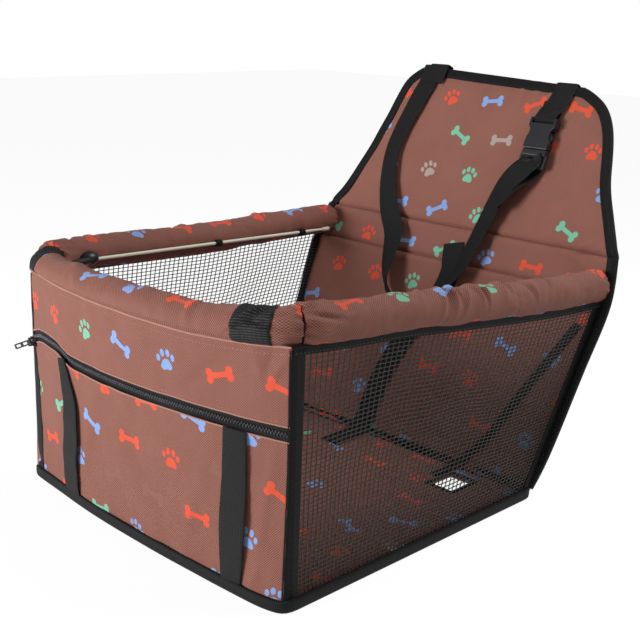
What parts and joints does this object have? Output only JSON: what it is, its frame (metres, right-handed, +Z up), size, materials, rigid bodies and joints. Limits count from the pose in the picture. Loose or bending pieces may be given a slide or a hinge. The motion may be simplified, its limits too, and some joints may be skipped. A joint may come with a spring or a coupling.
{
  "type": "dog car seat",
  "caption": "Soft folding car seat for a dog: open cloth basket with net sides, padded rim on thin rods, zip pocket, and a back flap held by a buckled head restraint strap.",
  "frame": {"origin": "middle of the floor panel's underside, where the basket rests on the seat", "axes": "+X to the right side seen from in front, +Y to the leaning back, +Z up"},
  "size_m": [0.4758, 0.6239, 0.4561],
  "materials": {
    "brown_oxford": "coated oxford weave with a small print",
    "black_net": "knitted net",
    "black_webbing": "ribbed tape and webbing",
    "black_acetal": "fine satin moulding",
    "white_rod": "smooth glass fibre",
    "black_zip": "woven tape and nylon coil",
    "enamelled_zinc": "semi-gloss enamel"
  },
  "bodies": {
    "basket": {"floor_panel": "brown_oxford", "floor_binding_front": "black_webbing", "floor_binding_left": "black_webbing", "floor_binding_right": "black_webbing", "floor_binding_back": "black_webbing", "front_wall": "brown_oxford", "pocket_lower_panel": "brown_oxford", "pocket_upper_panel": "brown_oxford", "zip_tape_lower": "black_zip", "zip_tape_upper": "black_zip", "zip_coil": "black_zip", "corner_tape_left": "black_webbing", "corner_tape_right": "black_webbing", "pocket_strap_left": "black_webbing", "pocket_strap_right": "black_webbing", "net_left": "black_net", "net_right": "black_net", "net_tape_left": "black_webbing", "net_tape_right": "black_webbing", "back_wall": "brown_oxford", "back_strip": "brown_oxford", "back_binding_left": "black_webbing", "back_binding_right": "black_webbing", "rim_roll_front": "brown_oxford", "rim_roll_left": "brown_oxford", "rim_roll_right": "brown_oxford", "elastic_band_left": "black_webbing", "elastic_band_right": "black_webbing", "front_rod": "white_rod", "rod_elbow_left": "black_acetal", "rod_elbow_right": "black_acetal", "rod_loop_front_1": "black_webbing", "rod_loop_front_2": "black_webbing", "rod_loop_left_1": "black_webbing", "rod_loop_left_2": "black_webbing", "rod_loop_right_1": "black_webbing", "rod_loop_right_2": "black_webbing", "tether_strap": "black_webbing", "slot_strap": "black_webbing"},
    "flap": {"flap_panel": "brown_oxford", "flap_binding": "black_webbing", "headrest_strap": "black_webbing", "loop_strap": "black_webbing", "buckle_shell": "black_acetal", "buckle_plug": "black_acetal"},
    "rod_left": {"side_rod_left": "white_rod", "rod_tip_left": "white_rod"},
    "rod_right": {"side_rod_right": "white_rod", "rod_tip_right": "white_rod"},
    "slider": {"zip_slider": "enamelled_zinc"},
    "pull": {"zip_pull": "enamelled_zinc"},
    "prong_left": {"buckle_prong_left": "black_acetal"},
    "prong_right": {"buckle_prong_right": "black_acetal"}
  },
  "joints": [
    {"name": "flap_fold", "type": "hinge", "parent": "basket", "child": "flap", "pos_m": [0, 0.30236, 0.26693], "axis": [1, 0, 0], "range_deg": [0, 105], "deforming": ["headrest_strap"]},
    {"name": "zip_travel", "type": "hinge", "parent": "basket", "child": "slider", "pos_m": [0, 0.64018, 0.165], "axis": [0, 0, 1], "range_deg": [0, 26.54]},
    {"name": "zip_pull_swing", "type": "hinge", "parent": "slider", "child": "pull", "pos_m": [-0.19804, -0.19959, 0.165], "axis": [0, 0, 1], "range_deg": [-60, 110]},
    {"name": "rod_slide_left", "type": "slide", "parent": "basket", "child": "rod_left", "axis": [-0.0352, 0.9988, -0.0344], "range_m": [0, 0.02]},
    {"name": "rod_slide_right", "type": "slide", "parent": "basket", "child": "rod_right", "axis": [0.0352, 0.9988, -0.0344], "range_m": [0, 0.02]},
    {"name": "prong_squeeze_right", "type": "hinge", "parent": "flap", "child": "prong_right", "pos_m": [0.09551, 0.33953, 0.3686], "axis": [0, -0.9135, 0.4067], "range_deg": [0, 12], "stiffness_Nm_per_rad": 0.01},
    {"name": "prong_squeeze_left", "type": "hinge", "parent": "flap", "child": "prong_left", "pos_m": [0.07249, 0.33953, 0.3686], "axis": [0, 0.9135, -0.4067], "range_deg": [0, 12], "stiffness_Nm_per_rad": 0.01}
  ],
  "couplings": [
    {"joint": "prong_squeeze_left", "follows": "prong_squeeze_right", "ratio": 1}
  ]
}
